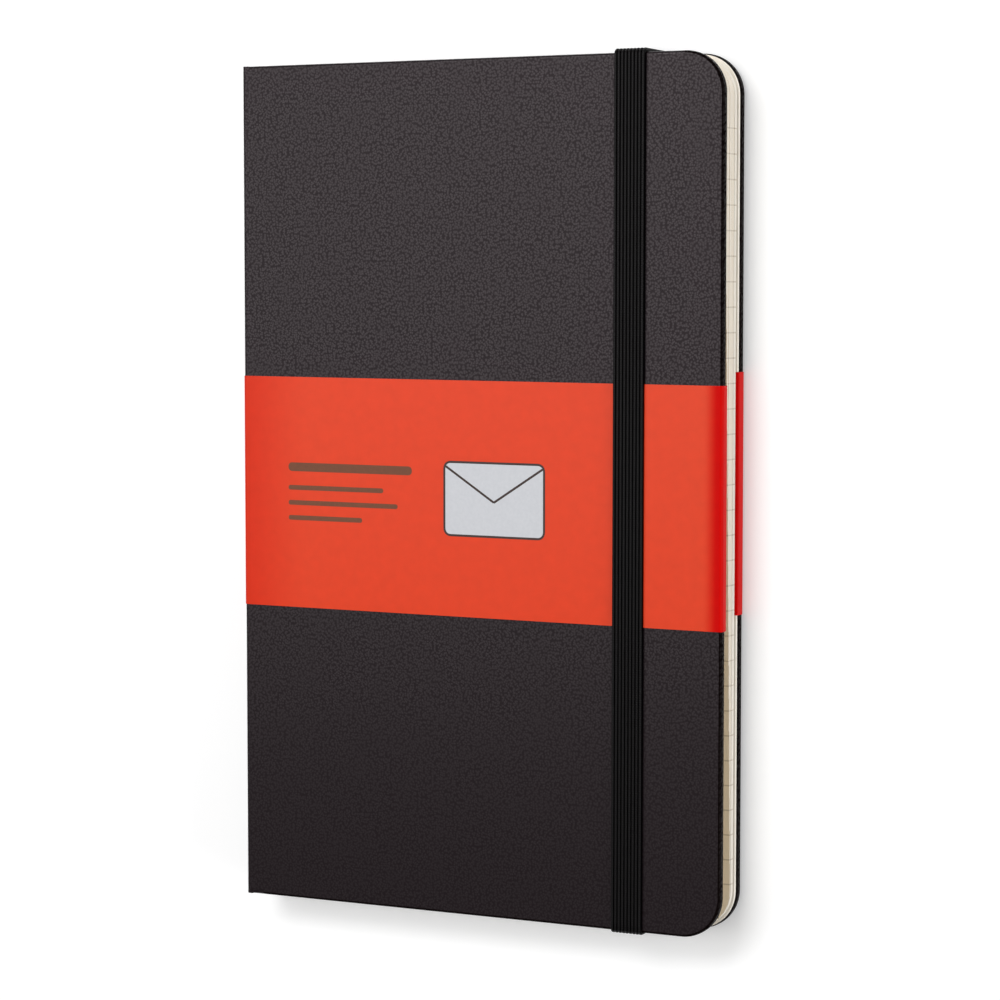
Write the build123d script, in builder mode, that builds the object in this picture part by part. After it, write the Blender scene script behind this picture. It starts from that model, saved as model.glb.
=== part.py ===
from build123d import *
import os
from string import ascii_lowercase

# Hard-cover address book with a stepped A to Z index, an elastic closure and a paper belly band.
# The closed book lies on its back cover: X runs from the spine to the fore-edge, Y from the tail
# to the head and Z from the back cover up to the front cover. The origin is the bottom centre of
# the closed book's box, level with the underside of the elastic's short back runs.
# Driving sizes, in millimetres.

# Case
COVER_W = 130.0  # spine's outer face to fore-edge
COVER_H = 210.0  # tail to head
CORNER_R = 10.0  # fore-edge corners of the covers
BOARD_T = 2.0  # greyboard of each cover
SKIN_T = 0.25  # leatherette
TURN_IN = 14.0  # leatherette turned in over the boards
EDGE_R = 0.7  # softened edge of a covered board
BOARD_CHAMFER = 0.3  # broken edge of a bare board
PASTEDOWN_T = 0.12  # endpaper glued inside each cover
PASTEDOWN_INSET = 3.0  # from the cover's edges
SPINE_BOARD_T = 1.2  # stiffener in the spine
SPINE_EDGE_R = 0.9  # softened long edges of the spine
LINING_T = 0.45  # gauze and paper glued over the sewn backs
HINGE_GAP = 0.25  # crease between the spine and each cover

# Leaves
HEAD_SQUARE = 1.0  # cover overhang at head and tail
FORE_SQUARE = 1.0  # front cover's overhang at the fore-edge
BLOCK_LEAN = 0.4  # the last leaf stands out this much further than the first
LEAF_T = 0.09  # one leaf of writing paper
SECTION_LEAVES = 2  # leaves under one letter
OPENING_LEAVES = 4  # leaves before the index
NOTES_LEAVES = 16  # plain leaves after the index
LEAF_GAP = 0.015  # air between two groups of leaves
COVER_REST_GAP = 0.03  # air between the leaves and what lies on the covers
TAB_DEPTH = 9.0  # index step, inwards from the fore-edge
TAB_ROOT_R = 1.0  # inner corner of each index step
FOLD_LENGTH = 2.0  # leaves thin out towards their sewn fold over this length
FOLD_TIP_T = 0.03  # thickness at the fold
FOLD_CLEARANCE = 0.05  # fold line to the lining
FOLD_TIP_GAP = 0.1  # fold line to the start of the leaves

# Ribbon marker
RIBBON_W = 6.0
RIBBON_T = 0.22
RIBBON_LENGTH = 192.0
RIBBON_INSET = 15.0  # spine's outer face to the ribbon's near edge
RIBBON_SLANT = 5.0  # slanted cut at its lower end
RIBBON_LETTER = "n"  # it lies on this letter's first leaf

# Rear pocket
POCKET_PANEL_T = 0.35
POCKET_MOUTH = 15.0  # spine's outer face to the mouth
POCKET_INSET = 0.3  # from the cover's edges
POCKET_EDGE_W = 10.5  # card glued down along the fore-edge, up to the crease where the panel lifts
POCKET_CREASE_GAP = 0.1
GUSSET_T = 0.5  # folded cloth side
GUSSET_W = 8.0

# Elastic closure
ELASTIC_W = 8.0
ELASTIC_T = 0.9
ELASTIC_INSET = 23.8  # fore-edge to its centre line
ELASTIC_EDGE_R = 0.3
SLOT_INSET = 9.0  # cover's head or tail to the slot's centre
SLOT_CLEARANCE = 0.25
ELASTIC_TAIL = 12.0  # glued end inside the back cover
WRAP_START = 2.0  # cover's head or tail to where the wraps begin
WRAP_CLEARANCE = 0.1
RUN_CLEARANCE = 0.05  # front run to the wraps at its ends

# Belly band
BAND_H = 58.0
BAND_OFFSET = -2.0  # its middle, from the middle of the book
BAND_T = 0.16
BAND_CLEARANCE = 0.02
FLAP_LENGTH = 38.0  # tucked in behind each cover
FLAP_FOLD_R = 0.2  # inside of the crease where a flap turns in
FLAP_GAP = 0.3  # either side of the pocket's crease, where the rear flap lifts with the panel

# Across the book
x_spine = -COVER_W / 2
x_fore = COVER_W / 2
spine_t = 2 * SKIN_T + SPINE_BOARD_T
x_hinge = x_spine + spine_t + HINGE_GAP
x_lining = x_spine + SKIN_T + SPINE_BOARD_T
x_fold = x_lining + LINING_T + FOLD_CLEARANCE
x_leaf = x_fore - FORE_SQUARE
x_elastic = x_fore - ELASTIC_INSET
x_pocket = x_fore - POCKET_INSET
x_crease = x_pocket - POCKET_EDGE_W

# Along the book
y_edge = COVER_H / 2
y_leaf = y_edge - HEAD_SQUARE
y_slot = y_edge - SLOT_INSET
y_pocket = y_edge - POCKET_INSET
tab_pitch = 2 * y_leaf / len(ascii_lowercase)

# Through the book, from the back cover up to the front cover
cover_t = 2 * SKIN_T + BOARD_T
z_back = ELASTIC_T
z_back_lining = z_back + cover_t
z_gusset = z_back_lining + PASTEDOWN_T
z_panel = z_gusset + GUSSET_T
z_back_flap = z_panel + POCKET_PANEL_T + BAND_CLEARANCE
z_leaves = z_back_flap + BAND_T + COVER_REST_GAP

# The leaves stack up from the notes at the back to the opening leaves at the front, and the
# ribbon makes room for itself.
leaf_groups = {}
z_stack = z_leaves
for group in ["notes", *reversed(ascii_lowercase), "opening"]:
    count = {"notes": NOTES_LEAVES, "opening": OPENING_LEAVES}.get(group, SECTION_LEAVES)
    leaf_groups[group] = (z_stack, z_stack + count * LEAF_T)
    z_stack += count * LEAF_T + LEAF_GAP
    if group == RIBBON_LETTER:
        z_ribbon = z_stack
        z_stack += RIBBON_T + LEAF_GAP

z_front_flap = z_stack + COVER_REST_GAP
z_front_inner = z_front_flap + BAND_T + BAND_CLEARANCE
z_front_lining = z_front_inner + PASTEDOWN_T
z_front = z_front_lining + cover_t
z_run = z_front + BAND_T + 2 * BAND_CLEARANCE

os.makedirs("parts", exist_ok=True)


def save(piece, node):
    """Label a finished piece and write it under its node's name."""
    piece.part.label = node
    export_step(piece.part, f"parts/{node}.step")


def rectangle(left, bottom, right, top, mode=Mode.ADD):
    """A rectangle in the open sketch, given by its sides."""
    with Locations(((left + right) / 2, (bottom + top) / 2)):
        Rectangle(right - left, top - bottom, mode=mode)


def cover_sheet(z_low, thickness, inset):
    """A flat sheet of a cover's outline in the open part, square at the hinge and round at the fore-edge."""
    with BuildSketch(Plane.XY.offset(z_low), mode=Mode.PRIVATE) as outline:
        rectangle(x_hinge, inset - y_edge, x_fore - inset, y_edge - inset)
        fillet(outline.vertices().group_by(Axis.X)[-1], CORNER_R - inset)
    extrude(outline.sketch, amount=thickness)


def rims(slab):
    """The upper and lower edges of a cover's slab, apart from those along the hinge."""
    levels = slab.edges().group_by(Axis.Z)
    return (levels[0] + levels[-1]).filter_by(lambda edge: edge.center().X > x_hinge + SKIN_T)


def covered_slab(z_low):
    """A cover's slab as the leatherette's outside has it, with softened edges."""
    with BuildPart() as slab:
        cover_sheet(z_low, cover_t, 0)
        fillet(rims(slab), EDGE_R)
    return slab.part


def board_slab(z_low):
    """The bare board inside that slab, with broken edges."""
    with BuildPart() as slab:
        cover_sheet(z_low + SKIN_T, BOARD_T, SKIN_T)
        chamfer(rims(slab), BOARD_CHAMFER)
    return slab.part


def turn_in_window(z_low, mode):
    """The area of the open part that the turned-in leatherette leaves free, as deep as the leatherette."""
    with BuildSketch(Plane.XY.offset(z_low), mode=Mode.PRIVATE) as window:
        rectangle(x_hinge, TURN_IN - y_edge, x_fore - TURN_IN, y_edge - TURN_IN)
    extrude(window.sketch, amount=SKIN_T, mode=mode)


def elastic_slots(z_low, depth):
    """Cut the two slots of the elastic through the open part."""
    with BuildSketch(Plane.XY.offset(z_low), mode=Mode.PRIVATE) as slots:
        with Locations((x_elastic, y_slot), (x_elastic, -y_slot)):
            Rectangle(ELASTIC_W + 2 * SLOT_CLEARANCE, ELASTIC_T + 2 * SLOT_CLEARANCE)
    extrude(slots.sketch, amount=depth, mode=Mode.SUBTRACT)


# Front cover: board, leatherette wrapped over it, and the pastedown that fills the turn-ins' window
with BuildPart() as front_board:
    add(board_slab(z_front_lining))
save(front_board, "front_board")

with BuildPart() as front_leatherette:
    add(covered_slab(z_front_lining))
    add(front_board.part, mode=Mode.SUBTRACT)
    turn_in_window(z_front_lining, Mode.SUBTRACT)
save(front_leatherette, "front_leatherette")

with BuildPart() as front_pastedown:
    cover_sheet(z_front_inner, PASTEDOWN_T, PASTEDOWN_INSET)
    turn_in_window(z_front_lining, Mode.ADD)
save(front_pastedown, "front_pastedown")

# Back cover: the same, with the elastic's slots and the recesses for its glued ends
with BuildPart() as back_board:
    add(board_slab(z_back))
    elastic_slots(z_back, cover_t - SKIN_T)
    with BuildSketch(Plane.XY.offset(z_back_lining - SKIN_T - ELASTIC_T)):
        for side in (-1, 1):
            with Locations((x_elastic, side * (y_slot + ELASTIC_T / 2 - ELASTIC_TAIL / 2))):
                Rectangle(ELASTIC_W + 2 * SLOT_CLEARANCE, ELASTIC_TAIL + 2 * SLOT_CLEARANCE)
    extrude(amount=ELASTIC_T, mode=Mode.SUBTRACT)
save(back_board, "back_board")

with BuildPart() as back_leatherette:
    add(covered_slab(z_back))
    add(board_slab(z_back), mode=Mode.SUBTRACT)
    turn_in_window(z_back_lining - SKIN_T, Mode.SUBTRACT)
    elastic_slots(z_back, SKIN_T)
save(back_leatherette, "back_leatherette")

with BuildPart() as rear_pastedown:
    cover_sheet(z_back_lining, PASTEDOWN_T, PASTEDOWN_INSET)
    turn_in_window(z_back_lining - SKIN_T, Mode.ADD)
save(rear_pastedown, "rear_pastedown")


# Spine: stiffener, leatherette turned in at head and tail, and the lining over the sewn backs
def spine_slab(inset):
    """The spine's slab with softened long edges, inset from the leatherette's outside."""
    with BuildPart() as slab:
        with BuildSketch(Plane.XZ):
            rectangle(x_spine + inset, z_back + inset, x_spine + spine_t - inset, z_front - inset)
            fillet(vertices().group_by(Axis.X)[0], SPINE_EDGE_R - inset)
        extrude(amount=y_edge - inset, both=True)
    return slab.part


with BuildPart() as spine_board:
    add(spine_slab(SKIN_T))
save(spine_board, "spine_board")

with BuildPart() as spine_leatherette:
    add(spine_slab(0))
    add(spine_board.part, mode=Mode.SUBTRACT)
    with BuildSketch(Plane.XZ):
        rectangle(x_lining, z_back + SKIN_T, x_spine + spine_t, z_front - SKIN_T)
    extrude(amount=y_edge - TURN_IN, both=True, mode=Mode.SUBTRACT)
save(spine_leatherette, "spine_leatherette")

with BuildPart() as spine_lining:
    with BuildSketch(Plane.XZ):
        rectangle(x_lining, z_leaves, x_lining + LINING_T, z_stack - LEAF_GAP)
    extrude(amount=y_edge - TURN_IN, both=True)
save(spine_lining, "spine_lining")


# Leaves: each group thins out to its sewn fold, and each letter is cut back below its own tab
def index_cut(tab, x_trim):
    """Cut the open part back from the foot of a tab to the tail, counting tabs from the head."""
    y_foot = y_leaf - (tab + 1) * tab_pitch
    if y_foot - TAB_ROOT_R > -y_leaf:
        with BuildSketch(mode=Mode.PRIVATE) as step:
            rectangle(x_trim - TAB_DEPTH, -y_edge, x_fore, y_foot)
            fillet(step.vertices().group_by(Axis.Y)[-1].sort_by(Axis.X)[0], TAB_ROOT_R)
        extrude(step.sketch, amount=z_front, mode=Mode.SUBTRACT)


def leaf_group(name, node):
    """Make one group of leaves, with its index step if it is a letter."""
    z_low, z_high = leaf_groups[name]
    z_middle = (z_low + z_high) / 2
    x_trim = x_leaf + BLOCK_LEAN * (z_stack - z_middle) / (z_stack - z_leaves)
    with BuildPart() as leaves:
        with BuildSketch(Plane.XZ):
            with BuildLine():
                Polyline(
                    (x_fold + FOLD_TIP_GAP, z_middle - FOLD_TIP_T / 2),
                    (x_fold + FOLD_LENGTH, z_low),
                    (x_trim, z_low),
                    (x_trim, z_high),
                    (x_fold + FOLD_LENGTH, z_high),
                    (x_fold + FOLD_TIP_GAP, z_middle + FOLD_TIP_T / 2),
                    close=True,
                )
            make_face()
        extrude(amount=y_leaf, both=True)
        corners = edges().filter_by(Axis.Z).group_by(Axis.X)[-1]
        fillet(corners, CORNER_R - (x_fore - x_trim))
        if name in ascii_lowercase:
            index_cut(ascii_lowercase.index(name), x_trim)
    save(leaves, node)


leaf_group("opening", "opening_leaves")
for letter in ascii_lowercase:
    leaf_group(letter, f"index_{letter}")
leaf_group("notes", "notes_leaves")

# Ribbon marker, laid down the page from the head with a slanted lower end
with BuildPart() as ribbon_marker:
    x_ribbon = x_spine + RIBBON_INSET
    with BuildSketch(Plane.XY.offset(z_ribbon)):
        with BuildLine():
            Polyline(
                (x_ribbon, y_leaf),
                (x_ribbon + RIBBON_W, y_leaf),
                (x_ribbon + RIBBON_W, y_leaf - RIBBON_LENGTH + RIBBON_SLANT),
                (x_ribbon, y_leaf - RIBBON_LENGTH),
                close=True,
            )
        make_face()
    extrude(amount=RIBBON_T)
save(ribbon_marker, "ribbon_marker")

# Rear pocket: a card glued down along the fore-edge and creased there, with a panel that lifts and
# two folded cloth gussets, open towards the spine
with BuildPart() as pocket_panel:
    with BuildSketch(Plane.XY.offset(z_panel)):
        rectangle(x_spine + POCKET_MOUTH, -y_pocket, x_crease - POCKET_CREASE_GAP, y_pocket)
    extrude(amount=POCKET_PANEL_T)
save(pocket_panel, "pocket_panel")

with BuildPart() as pocket_edge:
    with BuildSketch(Plane.XY.offset(z_gusset)):
        rectangle(x_crease, -y_pocket, x_pocket, y_pocket)
        fillet(vertices().group_by(Axis.X)[-1], CORNER_R - POCKET_INSET)
    extrude(amount=GUSSET_T + POCKET_PANEL_T)
save(pocket_edge, "pocket_edge")

for side, end in ((1, "head"), (-1, "tail")):
    with BuildPart() as pocket_gusset:
        with BuildSketch(Plane.XY.offset(z_gusset)):
            y_low, y_high = sorted((side * y_pocket, side * (y_pocket - GUSSET_W)))
            rectangle(x_spine + POCKET_MOUTH, y_low, x_crease - POCKET_CREASE_GAP, y_high)
        extrude(amount=GUSSET_T)
    save(pocket_gusset, f"pocket_gusset_{end}")


# Elastic closure: a run down the front, a wrap round head and tail, and two ends that go through
# the back cover's slots and are glued inside
def strap(profile):
    """Extrude a profile in the YZ plane to the elastic's width."""
    extrude(profile.sketch, amount=ELASTIC_W / 2, both=True)


strap_plane = Plane.YZ.offset(x_elastic)
y_wrap = y_edge - WRAP_START

with BuildPart() as elastic_front_run:
    with BuildSketch(strap_plane) as run_profile:
        rectangle(RUN_CLEARANCE - y_wrap, z_run, y_wrap - RUN_CLEARANCE, z_run + ELASTIC_T)
    strap(run_profile)
    fillet(elastic_front_run.edges().filter_by(Axis.Y), ELASTIC_EDGE_R)
save(elastic_front_run, "elastic_front_run")

for side, end in ((1, "head"), (-1, "tail")):
    with BuildPart() as elastic_wrap:
        with BuildSketch(strap_plane) as wrap_profile:
            y_inner = y_edge + WRAP_CLEARANCE
            rectangle(y_wrap, 0, y_inner + ELASTIC_T, z_run + ELASTIC_T)
            fillet(vertices().group_by(Axis.X)[-1], EDGE_R + ELASTIC_T)
            with BuildSketch(strap_plane, mode=Mode.PRIVATE) as wrap_inside:
                rectangle(y_wrap, ELASTIC_T, y_inner, z_run)
                fillet(wrap_inside.vertices().group_by(Axis.X)[-1], EDGE_R)
            add(wrap_inside.sketch_local, mode=Mode.SUBTRACT)
            if side < 0:
                mirror(about=Plane.YZ, mode=Mode.REPLACE)
        strap(wrap_profile)
    save(elastic_wrap, f"elastic_wrap_{end}")

    with BuildPart() as elastic_end:
        with BuildSketch(strap_plane) as end_profile:
            z_tail = z_back_lining - SKIN_T
            y_riser = y_slot + ELASTIC_T / 2
            rectangle(y_riser - ELASTIC_T, 0, y_wrap, ELASTIC_T)
            rectangle(y_riser - ELASTIC_T, 0, y_riser, z_tail)
            rectangle(y_riser - ELASTIC_TAIL, z_tail - ELASTIC_T, y_riser, z_tail)
            if side < 0:
                mirror(about=Plane.YZ, mode=Mode.REPLACE)
        strap(end_profile)
    save(elastic_end, f"elastic_end_{end}")

# Belly band: one strip of paper round the case, folded in behind each cover at the fore-edge
band_plane = Plane.XZ.offset(-BAND_OFFSET)
z_band_low = z_back - BAND_CLEARANCE - BAND_T
z_band_high = z_front + BAND_CLEARANCE + BAND_T
x_band_fold = x_fore + BAND_CLEARANCE


def fold_outline(z_low, z_high, r_low, r_high, outset):
    """A section round one cover's fore-edge in the open sketch, given by its inside and an outset."""
    rectangle(x_hinge, z_low - outset, x_band_fold + outset, z_high + outset)
    fillet(vertices().group_by(Axis.X)[-1].sort_by(Axis.Y)[0], r_low + outset)
    fillet(vertices().sort_by(Axis.Y)[-2:].sort_by(Axis.X)[-1], r_high + outset)


def fore_edge_fold(z_low, z_high, r_low, r_high):
    """The band's section round one cover's fore-edge, outside the two given levels."""
    fold_outline(z_low, z_high, r_low, r_high, BAND_T)
    with BuildSketch(band_plane, mode=Mode.PRIVATE) as inside:
        fold_outline(z_low, z_high, r_low, r_high, 0)
    add(inside.sketch_local, mode=Mode.SUBTRACT)


with BuildPart() as band_front:
    with BuildSketch(band_plane):
        fore_edge_fold(z_front_flap + BAND_T, z_front + BAND_CLEARANCE, FLAP_FOLD_R, EDGE_R)
        rectangle(x_hinge, z_front_flap, x_fore - FLAP_LENGTH, z_front_flap + BAND_T, Mode.SUBTRACT)
    extrude(amount=BAND_H / 2, both=True)
save(band_front, "band_front")

with BuildPart() as band_back:
    with BuildSketch(band_plane):
        fore_edge_fold(z_back - BAND_CLEARANCE, z_back_flap, EDGE_R, FLAP_FOLD_R)
        rectangle(x_hinge, z_back_flap, x_crease + FLAP_GAP, z_back_flap + BAND_T, Mode.SUBTRACT)
    extrude(amount=BAND_H / 2, both=True)
save(band_back, "band_back")

with BuildPart() as band_back_flap:
    with BuildSketch(band_plane):
        rectangle(x_fore - FLAP_LENGTH, z_back_flap, x_crease - FLAP_GAP, z_back_flap + BAND_T)
    extrude(amount=BAND_H / 2, both=True)
save(band_back_flap, "band_back_flap")

with BuildPart() as band_spine:
    with BuildSketch(band_plane):
        rectangle(x_spine - BAND_CLEARANCE - BAND_T, z_band_low, x_spine + spine_t, z_band_high)
        fillet(vertices().group_by(Axis.X)[0], SPINE_EDGE_R + BAND_CLEARANCE + BAND_T)
        with BuildSketch(band_plane, mode=Mode.PRIVATE) as spine_inside:
            rectangle(x_spine - BAND_CLEARANCE, z_band_low + BAND_T, x_spine + spine_t, z_band_high - BAND_T)
            fillet(spine_inside.vertices().group_by(Axis.X)[0], SPINE_EDGE_R + BAND_CLEARANCE)
        add(spine_inside.sketch_local, mode=Mode.SUBTRACT)
    extrude(amount=BAND_H / 2, both=True)
save(band_spine, "band_spine")
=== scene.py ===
"""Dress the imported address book: finishes, fine pieces, studio light and camera.

The closed book lies on its back cover. X runs from the spine to the fore-edge, Y from the tail to the
head and Z from the back cover up to the front cover. Sizes are in millimetres unless a name ends in _m.
"""

import logging
import math
import random
from abc import ABC, abstractmethod
from collections.abc import Iterable, Sequence
from dataclasses import dataclass, field
from enum import Enum
from functools import cached_property, partial

import bmesh
import bpy
from mathutils import Matrix, Vector

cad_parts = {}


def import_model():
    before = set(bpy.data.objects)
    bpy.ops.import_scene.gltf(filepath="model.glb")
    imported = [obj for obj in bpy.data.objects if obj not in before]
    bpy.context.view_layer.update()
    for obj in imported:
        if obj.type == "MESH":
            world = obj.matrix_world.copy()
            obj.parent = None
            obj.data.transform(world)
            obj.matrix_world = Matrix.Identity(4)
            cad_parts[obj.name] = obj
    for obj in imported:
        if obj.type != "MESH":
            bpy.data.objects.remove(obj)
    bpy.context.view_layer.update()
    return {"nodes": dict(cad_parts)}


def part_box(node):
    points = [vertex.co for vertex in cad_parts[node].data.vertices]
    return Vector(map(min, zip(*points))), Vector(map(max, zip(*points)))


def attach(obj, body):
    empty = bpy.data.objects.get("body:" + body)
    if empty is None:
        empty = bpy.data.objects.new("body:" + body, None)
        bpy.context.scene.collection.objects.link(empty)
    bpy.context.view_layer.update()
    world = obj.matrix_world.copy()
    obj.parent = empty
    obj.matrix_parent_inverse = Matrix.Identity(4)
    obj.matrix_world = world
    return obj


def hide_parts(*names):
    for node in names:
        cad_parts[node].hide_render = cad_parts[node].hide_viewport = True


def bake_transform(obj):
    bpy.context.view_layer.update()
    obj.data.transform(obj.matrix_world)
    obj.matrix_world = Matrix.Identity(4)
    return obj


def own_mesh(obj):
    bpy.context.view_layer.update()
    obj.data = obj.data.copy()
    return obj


LOG = logging.getLogger("address_book")

MM = 0.001
LETTERS = "abcdefghijklmnopqrstuvwxyz"
COVER_CORNER = 10.0
SAME_POINT = 0.01
MITRE_LIMIT = 0.3
# A wave texture of scale 1 repeats at this distance.
WAVE_PERIOD = math.tau / 20

Point2 = tuple[float, float]
Point3 = tuple[float, float, float]
Reach = tuple[float, float]
Ray = tuple[Point2, Point2]
Value = float | tuple | bpy.types.NodeSocket | bpy.types.Node


def linear(hex_colour: str) -> tuple[float, float, float, float]:
    """Turn an sRGB hex colour into the linear colour that a shader socket takes.

    Args:
        hex_colour: Six hex digits after a hash sign.

    Returns:
        Linear red, green and blue, with an alpha of 1.
    """
    channels = [int(hex_colour[i : i + 2], 16) / 255 for i in (1, 3, 5)]
    red, green, blue = (c / 12.92 if c <= 0.04045 else ((c + 0.055) / 1.055) ** 2.4 for c in channels)
    return red, green, blue, 1.0


def add_node(
    tree: bpy.types.NodeTree, kind: str, inputs: Sequence[Value] | dict[str, Value] = (), **settings: object
) -> bpy.types.Node:
    """Add one node to a tree, with its settings, input values and links.

    Args:
        tree: The node tree.
        kind: The node's type name, after the part that all of them share.
        inputs: Values for the first inputs in use or for named ones. A node or its output is linked.
        **settings: The node's own properties.

    Returns:
        The new node.
    """
    node = tree.nodes.new(f"ShaderNode{kind}")
    for name, value in settings.items():
        setattr(node, name, value)
    in_use = [socket for socket in node.inputs if socket.enabled]
    for key, value in inputs.items() if isinstance(inputs, dict) else enumerate(inputs):
        socket = node.inputs[key] if isinstance(key, str) else in_use[key]
        if isinstance(value, bpy.types.Node):
            value = next(output for output in value.outputs if output.enabled)
        if isinstance(value, bpy.types.NodeSocket):
            tree.links.new(value, socket)
        else:
            socket.default_value = value
    return node


def smoothstep(low: float, high: float, value: float) -> float:
    """Rise smoothly from 0 at low to 1 at high."""
    share = min(1.0, max(0.0, (value - low) / (high - low)))
    return share * share * (3 - 2 * share)


def spread(start: float, end: float, count: int) -> list[float]:
    """Evenly spaced values from start to end, with both."""
    return [start + (end - start) * i / count for i in range(count + 1)]


def arc(centre: Point2, radius: float, start: float, end: float, steps: int = 8) -> list[Point2]:
    """Points along an arc between two angles in degrees, with both ends."""
    angles = [math.radians(angle) for angle in spread(start, end, steps)]
    return [(centre[0] + radius * math.cos(a), centre[1] + radius * math.sin(a)) for a in angles]


def arc_rays(
    centre: Point2, radius: float, start: float, end: float, steps: int, out: float = 1.0
) -> list[Ray]:
    """Points along an arc, each with its direction away from the centre, or towards it if out is -1."""
    return list(zip(arc(centre, radius, start, end, steps), arc((0.0, 0.0), out, start, end, steps)))


def offset_right(path: Sequence[Point2], distance: float) -> list[Point2]:
    """Shift a path to its right-hand side, keeping the distance at its bends.

    Args:
        path: The points in order.
        distance: How far to shift.

    Returns:
        One shifted point for each point.
    """
    shifted = []
    for i, point in enumerate(path):
        here = Vector(point)
        before = here - Vector(path[i - 1]) if i else Vector(path[1]) - here
        after = Vector(path[i + 1]) - here if i + 1 < len(path) else before
        normals = [Vector((run.y, -run.x)).normalized() for run in (before, after)]
        middle = (normals[0] + normals[1]).normalized()
        moved = here + middle * (distance / max(MITRE_LIMIT, middle.dot(normals[0])))
        shifted.append((moved.x, moved.y))
    return shifted


def curve_mesh(curve: bpy.types.Curve) -> bpy.types.Mesh:
    """Turn a curve or a text into a mesh.

    Args:
        curve: The curve or text.

    Returns:
        The new mesh.
    """
    holder = bpy.data.objects.new(curve.name, curve)
    bpy.context.scene.collection.objects.link(holder)
    mesh = bpy.data.meshes.new_from_object(holder)
    bpy.data.objects.remove(holder)
    return mesh


class Cap(Enum):
    """How the two ends of a swept piece are closed."""

    POLYGON = "one polygon"
    LADDER = "quads between the two sides of the section"


@dataclass
class Shell:
    """A piece's points and faces while it is being built."""

    points: list[Point3] = field(default_factory=list)
    faces: list[tuple[int, ...]] = field(default_factory=list)
    finish_of_face: list[int] = field(default_factory=list)

    def add_points(self, points: Iterable[Point3]) -> list[int]:
        """Add points and give their numbers.

        Args:
            points: The points to add.

        Returns:
            The number of each new point.
        """
        first = len(self.points)
        self.points.extend(points)
        return list(range(first, len(self.points)))

    def add_face(self, corners: Sequence[int], finish: int = 0) -> None:
        """Add one face with the number of its finish."""
        self.faces.append(tuple(corners))
        self.finish_of_face.append(finish)

    def sweep(
        self,
        loops: Sequence[Sequence[Point3]],
        cap: Cap = Cap.POLYGON,
        cap_finish: int = 0,
        side_finishes: Sequence[int] = (),
    ) -> None:
        """Add a closed skin through loops of equal length.

        Args:
            loops: The section's points at each station.
            cap: How the ends are closed.
            cap_finish: The number of the ends' finish.
            side_finishes: The number of the finish after each of the section's points, if not 0 for all.
        """
        rings = [self.add_points(loop) for loop in loops]
        count = len(rings[0])
        sides = side_finishes or [0] * count
        for near, far in zip(rings, rings[1:]):
            for i in range(count):
                j = (i + 1) % count
                self.add_face((near[i], near[j], far[j], far[i]), sides[i])
        for ring in (rings[0], rings[-1]):
            if cap is Cap.POLYGON:
                self.add_face(ring, cap_finish)
            else:
                for i in range(count // 2 - 1):
                    across = count - 1 - i
                    self.add_face((ring[i], ring[i + 1], ring[across - 1], ring[across]), cap_finish)

    def piece(self, name: str, crease: float | None = None) -> bpy.types.Object:
        """Make the Blender object.

        Args:
            name: The piece's name.
            crease: Angle in degrees above which an edge stays sharp, or None for flat faces.

        Returns:
            The new object, with its place in its mesh.
        """
        mesh = bpy.data.meshes.new(name)
        mesh.from_pydata([[c * MM for c in point] for point in self.points], [], self.faces)
        mesh.polygons.foreach_set("material_index", self.finish_of_face)
        edit = bmesh.new()
        edit.from_mesh(mesh)
        bmesh.ops.recalc_face_normals(edit, faces=edit.faces)
        edit.to_mesh(mesh)
        edit.free()
        mesh.polygons.foreach_set("use_smooth", [crease is not None] * len(mesh.polygons))
        if crease is not None:
            mesh.set_sharp_from_angle(angle=math.radians(crease))
        made = bpy.data.objects.new(name, mesh)
        bpy.context.scene.collection.objects.link(made)
        return made


class Motion(ABC):
    """How a piece follows the book's bodies."""

    @abstractmethod
    def apply(self, piece: bpy.types.Object) -> None:
        """Tie the piece to its bodies."""


@dataclass(frozen=True)
class Rides(Motion):
    """The piece moves with one body."""

    body: str

    def apply(self, piece: bpy.types.Object) -> None:
        """Tie the piece to its body."""
        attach(piece, self.body)


@dataclass(frozen=True)
class Bends(Motion):
    """The piece spans from one body to the next; it is kept in place and does not bend."""

    body_a: str
    body_b: str
    start: Point3
    end: Point3

    def apply(self, piece: bpy.types.Object) -> None:
        """Bake the piece's place into its mesh."""
        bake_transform(piece)


@dataclass(frozen=True)
class Flattens(Motion):
    """The piece moves with one body; the joint that would flatten it is only recorded."""

    body: str
    joint: str
    axis: Point3
    anchor: Point3
    keep: float

    def apply(self, piece: bpy.types.Object) -> None:
        """Tie the piece to its body and give it a mesh of its own."""
        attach(piece, self.body)
        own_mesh(piece)


class Surface:
    """A new material and its node tree."""

    def __init__(self, name: str) -> None:
        """Start a material.

        Args:
            name: The material's name.
        """
        self.material = bpy.data.materials.new(name)
        self.material.use_nodes = True
        tree = self.material.node_tree
        tree.nodes.clear()
        self.node = partial(add_node, tree)

    @cached_property
    def place(self) -> bpy.types.Node:
        """The place on the object, in millimetres."""
        place = self.node("TexCoord").outputs["Object"]
        return self.node("VectorMath", [place, 1 / MM], operation="SCALE")

    def end(self, shader: bpy.types.Node) -> bpy.types.Material:
        """End the material with its shader."""
        self.node("OutputMaterial", {"Surface": shader})
        return self.material

    def coat(self, **values: Value) -> bpy.types.Material:
        """End the material with a shader whose values are named with underscores for spaces."""
        sockets = {key.replace("_", " "): value for key, value in values.items()}
        return self.end(self.node("BsdfPrincipled", sockets))


class Finish(ABC):
    """One finish, of the book or of the studio."""

    @abstractmethod
    def make(self) -> bpy.types.Material:
        """Make the finish's material."""


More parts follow.
